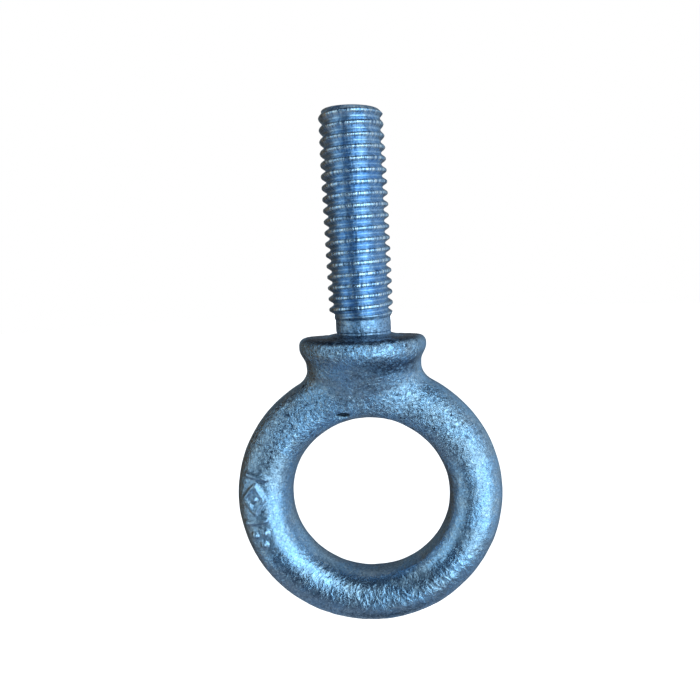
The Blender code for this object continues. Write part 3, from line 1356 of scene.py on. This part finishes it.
@dataclass
class RolledShank:
    """The shank: fillet, plain neck, rolled thread with its run-out, and a chamfered end."""

    sizes: FrameSizes
    around: int = 168
    rows_per_pitch: int = 26
    thread_depth: float = 0.45 * THREAD_PITCH
    crest_flat: float = 0.25
    root_flat: float = 0.17
    profile_samples: int = 9
    lead_in: float = 0.19
    neck_length: float = 0.0027
    neck_blend: float = 0.0002
    run_out: float = 0.0012
    neck_waist: float = 0.00013
    neck_offset: float = 0.0002
    foot_height: float = 0.0007
    foot_flare: float = 0.00028
    foot_sink: float = 0.0006
    foot_rows: int = 12
    crease_depth: float = 0.00008
    crease_width: float = 0.00012
    end_chamfer: float = 0.00075
    end_round: float = 0.00012
    edge_rows: int = 5
    end_rows: int = 24
    end_span: Span = (0.97, 0.03)
    end_hollow: float = 0.00006
    end_lump: float = 0.0009
    crest_softness: float = 0.07
    worn_softness: float = 0.13
    worn_turns: float = 6.0
    worn_share: float = 0.10
    nick_depth: float = 0.00008
    nick_size: float = 0.0006
    nick_squeeze: float = 0.5
    nick_crest: Span = (0.6, 1.0)
    dapple_depth: float = 0.000012

    @property
    def flank(self) -> float:
        """The width of one flank, in pitches."""
        return (1.0 - self.crest_flat - self.root_flat) / 2.0

    def turn_share(self, angle: np.ndarray, z: np.ndarray) -> np.ndarray:
        """Distance from the nearest crest, in pitches.

        Args:
            angle: Angles about the axis.
            z: Heights.

        Returns:
            Shares from -0.5 to 0.5.
        """
        first_crest = self.neck_length - (self.lead_in + self.flank + self.crest_flat / 2.0) * THREAD_PITCH
        turns = (z - first_crest) / THREAD_PITCH - angle / (2.0 * math.pi)
        return turns - np.round(turns)

    def form(self, share: np.ndarray, softness: np.ndarray) -> np.ndarray:
        """The thread's profile with its corners rolled over.

        Args:
            share: Distance from the nearest crest, in pitches.
            softness: How far the corners are rolled over, in pitches.

        Returns:
            Heights from 0 at the root to 1 at the crest.
        """
        total = np.zeros_like(share)
        offsets = np.linspace(-1.0, 1.0, self.profile_samples)
        for offset in offsets:
            moved = share + offset * softness
            moved = np.abs(moved - np.round(moved))
            total += np.clip((0.5 - self.root_flat / 2.0 - moved) / self.flank, 0.0, 1.0)
        return total / len(offsets)

    def heights(self) -> np.ndarray:
        """The heights of the mesh's rows, from the sunk foot to the end.

        Returns:
            Heights, lowest first.
        """
        s = self.sizes
        foot = np.linspace(-self.foot_sink, self.foot_height, self.foot_rows, endpoint=False)
        count = int((s.shank_length - self.foot_height) / THREAD_PITCH * self.rows_per_pitch)
        body = np.linspace(self.foot_height, s.shank_length - self.end_round, count, endpoint=False)
        turn = np.linspace(0.0, math.pi / 2, self.edge_rows)
        edge = s.shank_length - self.end_round * (1.0 - np.sin(turn))
        return np.concatenate([foot, body, edge])

    def unevenness(self, angle: np.ndarray, z: np.ndarray) -> np.ndarray:
        """Small nicks and dapples all over the shank.

        Args:
            angle: Angles about the axis.
            z: Heights.

        Returns:
            Numbers from about -1 to 1.
        """
        rise = z / THREAD_PITCH * self.nick_squeeze
        along = np.stack([np.cos(angle), np.sin(angle), rise], axis=-1).reshape(-1, 3)
        along[:, :2] *= self.sizes.thread_radius / self.nick_size
        return noise_at(along, 1.0, 2).reshape(z.shape)

    def shape_ends(self, radius: np.ndarray, z: np.ndarray) -> np.ndarray:
        """Adds the fillet and crease at the foot, and the chamfer and rounded edge at the end.

        Args:
            radius: The radii without them.
            z: Heights.

        Returns:
            The radii with them.
        """
        s = self.sizes
        rise = np.clip(z / self.foot_height, 0.0, 1.0)
        flare = self.foot_flare * (1.0 - np.sqrt(1.0 - (1.0 - rise) ** 2))
        radius = radius + flare * (z < self.foot_height)
        radius -= self.crease_depth * np.exp(-(((z - self.foot_height) / self.crease_width) ** 2))
        chamfer = s.thread_radius - self.end_chamfer + (s.shank_length - z)
        radius = np.minimum(radius, chamfer)
        over = np.clip((z - (s.shank_length - self.end_round)) / self.end_round, 0.0, 1.0)
        return radius - self.end_round * (1.0 - np.sqrt(1.0 - over**2))

    def radii(self, angle: np.ndarray, z: np.ndarray) -> tuple[np.ndarray, np.ndarray]:
        """The shank's radius everywhere.

        Args:
            angle: Angles about the axis.
            z: Heights.

        Returns:
            The radii, and how near each place is to a crest.
        """
        s = self.sizes
        wear = ramp(z, s.shank_length - self.worn_turns * THREAD_PITCH, s.shank_length - THREAD_PITCH)
        crest = self.form(self.turn_share(angle, z), self.crest_softness + self.worn_softness * wear)
        depth = self.thread_depth * (1.0 - self.worn_share * wear)
        nicks = self.unevenness(angle, z)
        threaded = s.thread_radius - self.thread_depth + depth * crest
        threaded -= self.nick_depth * np.maximum(nicks, 0.0) * ramp(crest, *self.nick_crest)
        threaded += self.dapple_depth * nicks
        full = ramp(z, self.neck_length - self.neck_blend, self.neck_length + self.run_out)
        neck = s.neck_radius - self.neck_waist + self.neck_offset * np.cos(angle) + self.dapple_depth * nicks
        return self.shape_ends(neck + (threaded - neck) * full, z), crest * full

    def build(self) -> bpy.types.Object:
        """Builds the shank's skin.

        Returns:
            The shank.
        """
        heights = self.heights()
        angles = np.linspace(0.0, 2.0 * math.pi, self.around, endpoint=False)
        z, angle = np.meshgrid(heights, angles, indexing="ij")
        radius, crest = self.radii(angle, z)
        bm = bmesh.new()
        layer = bm.verts.layers.float.new(Skin.CREST.value)
        rows = []
        for i in range(len(heights)):
            row = []
            for k in range(self.around):
                x = radius[i, k] * math.cos(angles[k])
                y = radius[i, k] * math.sin(angles[k])
                vert = bm.verts.new((x, y, heights[i]))
                vert[layer] = crest[i, k]
                row.append(vert)
            rows.append(row)
        rows += self.end_rings(bm, radius[-1], angles)
        for lower, upper in zip(rows, rows[1:]):
            for k in range(self.around):
                following = (k + 1) % self.around
                bm.faces.new((lower[k], lower[following], upper[following], upper[k]))
        bm.faces.new(rows[0][::-1])
        bm.faces.new(rows[-1])
        mesh = bpy.data.meshes.new("rolled_shank")
        bm.to_mesh(mesh)
        bm.free()
        mesh.shade_smooth()
        obj = bpy.data.objects.new("rolled_shank", mesh)
        bpy.context.scene.collection.objects.link(obj)
        return obj

    def end_rings(self, bm: bmesh.types.BMesh, rim: np.ndarray, angles: np.ndarray) -> list[list[Any]]:
        """The sheared end face, as rings that close in on the axis.

        Args:
            bm: The mesh being built.
            rim: The end's radius at each angle.
            angles: The angles.

        Returns:
            Rows of vertices, outermost first.
        """
        rows = []
        for share in np.linspace(*self.end_span, self.end_rows):
            row = []
            for reach, angle in zip(rim * share, angles):
                place = Vector((reach * math.cos(angle), reach * math.sin(angle), self.sizes.shank_length))
                lump = 1.0 + noise.noise(place / self.end_lump)
                place.z -= self.end_hollow * lump * (1.0 - share**6)
                row.append(bm.verts.new(place))
            rows.append(row)
        return rows

    def dress(self, obj: bpy.types.Object) -> None:
        """Plates the shank and ties it to the frame.

        Args:
            obj: The shank.
        """
        obj.data.materials.append(RolledZinc(self.sizes).material())
        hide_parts("threaded_shank")
        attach(obj, "root")


# ---------------------------------------------------------------------------------------------------------
# The studio
# ---------------------------------------------------------------------------------------------------------


@dataclass(frozen=True)
class Softbox:
    """A flat soft light.  Its azimuth is in degrees from the eye's front, towards +X."""

    name: str
    azimuth: float
    elevation: float
    width: float
    height: float
    radiance: float
    colour: Colour = (0.58, 0.86, 1.0)
    distance: float = 0.6

    def build(self, target: Vector) -> bpy.types.Object:
        """Hangs the light, facing the object.

        Args:
            target: What it faces.

        Returns:
            The light.
        """
        data = bpy.data.lights.new(self.name, "AREA")
        data.shape = "RECTANGLE"
        data.size = 2.0 * self.distance * math.tan(math.radians(self.width) / 2.0)
        data.size_y = 2.0 * self.distance * math.tan(math.radians(self.height) / 2.0)
        data.energy = self.radiance * math.pi * data.size * data.size_y
        data.color = self.colour
        light = bpy.data.objects.new(self.name, data)
        turn, rise = math.radians(self.azimuth), math.radians(self.elevation)
        towards = Vector((math.sin(turn) * math.cos(rise), -math.cos(turn) * math.cos(rise), math.sin(rise)))
        light.location = target + towards * self.distance
        light.rotation_mode = "QUATERNION"
        light.rotation_quaternion = towards.to_track_quat("Z", "Y")
        light.visible_camera = False
        bpy.context.scene.collection.objects.link(light)
        return light


@dataclass(frozen=True)
class Band:
    """A tone that sets in from one height of the unit sphere and is full at another.

    A lean carries it further down towards the back.
    """

    start: float
    full: float
    colour: Colour
    lean: float = 0.0


@dataclass(frozen=True)
class Room:
    """The dim room that the metal mirrors: a tone for each side, by azimuth, and bands above and below."""

    sides: tuple[tuple[float, Colour], ...] = (
        (-180.0, (0.09, 0.10, 0.11)),
        (-150.0, (0.05, 0.042, 0.035)),
        (-120.0, (0.10, 0.08, 0.055)),
        (-100.0, (0.16, 0.125, 0.085)),
        (-75.0, (0.14, 0.13, 0.12)),
        (-36.0, (0.05, 0.075, 0.11)),
        (-8.0, (0.035, 0.065, 0.11)),
        (58.0, (0.12, 0.17, 0.23)),
        (70.0, (0.28, 0.36, 0.43)),
        (86.0, (0.56, 0.71, 0.83)),
        (106.0, (0.56, 0.72, 0.85)),
        (124.0, (0.32, 0.41, 0.48)),
        (146.0, (0.15, 0.19, 0.23)),
        (180.0, (0.11, 0.12, 0.13)),
    )
    bands: tuple[Band, ...] = (
        Band(0.55, 0.78, (0.035, 0.06, 0.095)),
        Band(0.97, 1.02, (0.42, 0.48, 0.50), lean=0.3),
        Band(-0.45, -0.85, (0.23, 0.30, 0.38)),
        Band(-0.94, -0.98, (0.04, 0.06, 0.09)),
    )

    def build(self) -> None:
        """Makes the world, which shows white to the camera."""
        world = bpy.data.worlds.new("studio_room")
        world.use_nodes = True
        bpy.context.scene.world = world
        patch = Patch(world.node_tree)
        world.node_tree.nodes.clear()
        place = patch.node("ShaderNodeTexCoord").outputs["Generated"]
        axes = patch.node("ShaderNodeSeparateXYZ", {"Vector": place}).outputs
        azimuth = patch.math("ARCTAN2", axes["X"], patch.all_of(axes["Y"], -1.0))
        turn = patch.math("ADD", patch.all_of(azimuth, 0.5 / math.pi), 0.5)
        ring = patch.node("ShaderNodeValToRGB", {"Fac": turn})
        stops = ring.color_ramp.elements
        while len(stops) < len(self.sides):
            stops.new(0.5)
        for stop, (angle, colour) in zip(stops, self.sides):
            stop.position = angle / 360.0 + 0.5
            stop.color = (*colour, 1.0)
        tone = ring.outputs["Color"]
        for band in self.bands:
            level = patch.math("ADD", axes["Z"], patch.all_of(axes["Y"], band.lean))
            tone = patch.tint(patch.grade(level, band.start, band.full), tone, (*band.colour, 1.0))
        mirrored = patch.node("ShaderNodeBackground", {"Color": tone, "Strength": 1.0})
        paper = patch.node("ShaderNodeBackground", {"Color": WHITE, "Strength": 1.0})
        seen = patch.node("ShaderNodeLightPath").outputs["Is Camera Ray"]
        mix = patch.node("ShaderNodeMixShader", {"Fac": seen})
        patch.tree.links.new(mirrored.outputs[0], mix.inputs[1])
        patch.tree.links.new(paper.outputs[0], mix.inputs[2])
        patch.node("ShaderNodeOutputWorld", {"Surface": mix.outputs[0]})


@dataclass(frozen=True)
class PaleFloor:
    """A wide pale floor, well below the bolt, with an upturned edge."""

    clearance: float = 0.09
    radius: float = 1.6
    kerb: float = 0.02

    def build(self, lowest: float) -> bpy.types.Object:
        """Lays the floor.

        Args:
            lowest: The bolt's lowest point.

        Returns:
            The floor.
        """
        bm = bmesh.new()
        bmesh.ops.create_circle(bm, cap_ends=True, segments=96, radius=self.radius)
        rim = [e for e in bm.edges if e.is_boundary]
        lip = bmesh.ops.extrude_edge_only(bm, edges=rim)
        lifted = [v for v in lip["geom"] if isinstance(v, bmesh.types.BMVert)]
        bmesh.ops.translate(bm, verts=lifted, vec=(0.0, 0.0, self.kerb))
        bmesh.ops.translate(bm, verts=bm.verts[:], vec=(0.0, 0.0, lowest - self.clearance))
        mesh = bpy.data.meshes.new("pale_floor")
        bm.to_mesh(mesh)
        bm.free()
        floor = bpy.data.objects.new("pale_floor", mesh)
        bpy.context.scene.collection.objects.link(floor)
        mesh.materials.append(StudioPaper().material())
        floor.visible_glossy = False
        floor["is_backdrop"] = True
        return floor


@dataclass(frozen=True)
class CameraStand:
    """Where the camera stands: angles in degrees and a distance in metres, from the point it aims at."""

    azimuth: float = 0.302
    elevation: float = 10.21
    roll: float = -2.08
    distance: float = 0.10261
    aim: tuple[float, float, float] = (0.01075, -0.00132, -0.00702)
    lens: float = 34.96
    sensor: float = 36.0
    shift: Span = (-0.1225, 0.0437)
    clip: Span = (0.005, 10.0)

    def build(self) -> bpy.types.Object:
        """Sets up the camera and makes it the scene's.

        Returns:
            The camera.
        """
        turn, rise = math.radians(self.azimuth), math.radians(self.elevation)
        forward = Vector((math.sin(turn) * math.cos(rise), math.cos(turn) * math.cos(rise), -math.sin(rise)))
        data = bpy.data.cameras.new("camera")
        data.lens = self.lens
        data.sensor_width = self.sensor
        data.shift_x, data.shift_y = self.shift
        data.clip_start, data.clip_end = self.clip
        camera = bpy.data.objects.new("camera", data)
        camera.location = Vector(self.aim) - forward * self.distance
        camera.rotation_mode = "QUATERNION"
        level = forward.to_track_quat("-Z", "Y")
        camera.rotation_quaternion = level @ Quaternion((0.0, 0.0, 1.0), math.radians(self.roll))
        bpy.context.scene.collection.objects.link(camera)
        bpy.context.scene.camera = camera
        return camera


@dataclass(frozen=True)
class Studio:
    """The floor, the room, the softboxes and the camera."""

    softboxes: tuple[Softbox, ...] = (
        Softbox("window_right", azimuth=33.0, elevation=-3.0, width=55.0, height=77.0, radiance=2.15),
        Softbox("window_left", azimuth=-58.0, elevation=2.0, width=36.0, height=78.0, radiance=0.95),
        Softbox("rear_left", azimuth=-150.0, elevation=20.0, width=30.0, height=60.0, radiance=0.12),
        Softbox("rear_right", azimuth=140.0, elevation=20.0, width=30.0, height=70.0, radiance=0.25),
    )
    room: Room = Room()
    floor: PaleFloor = PaleFloor()
    camera: CameraStand = CameraStand()

    def build(self, low: Vector, high: Vector) -> None:
        """Sets the studio up round the bolt.

        Args:
            low: The bolt's lowest corner.
            high: Its highest corner.
        """
        bpy.context.scene.view_settings.view_transform = "Standard"
        self.room.build()
        self.floor.build(low.z)
        for softbox in self.softboxes:
            softbox.build((low + high) / 2.0)
            log.info("light %s", softbox.name)
        self.camera.build()


# ---------------------------------------------------------------------------------------------------------
# The whole scene
# ---------------------------------------------------------------------------------------------------------


def main() -> None:
    """Builds the eye bolt and its studio."""
    logging.basicConfig(level=logging.INFO, format="%(name)s: %(message)s")
    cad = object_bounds()
    sizes = FrameSizes.measured(frame["nodes"])
    for assembly in (Forging(sizes), RolledShank(sizes)):
        piece = assembly.build()
        assembly.dress(piece)
        log.info("%s: %d vertices", piece.name, len(piece.data.vertices))
    Studio().build(*cad)


if __name__ == "__main__":
    main()
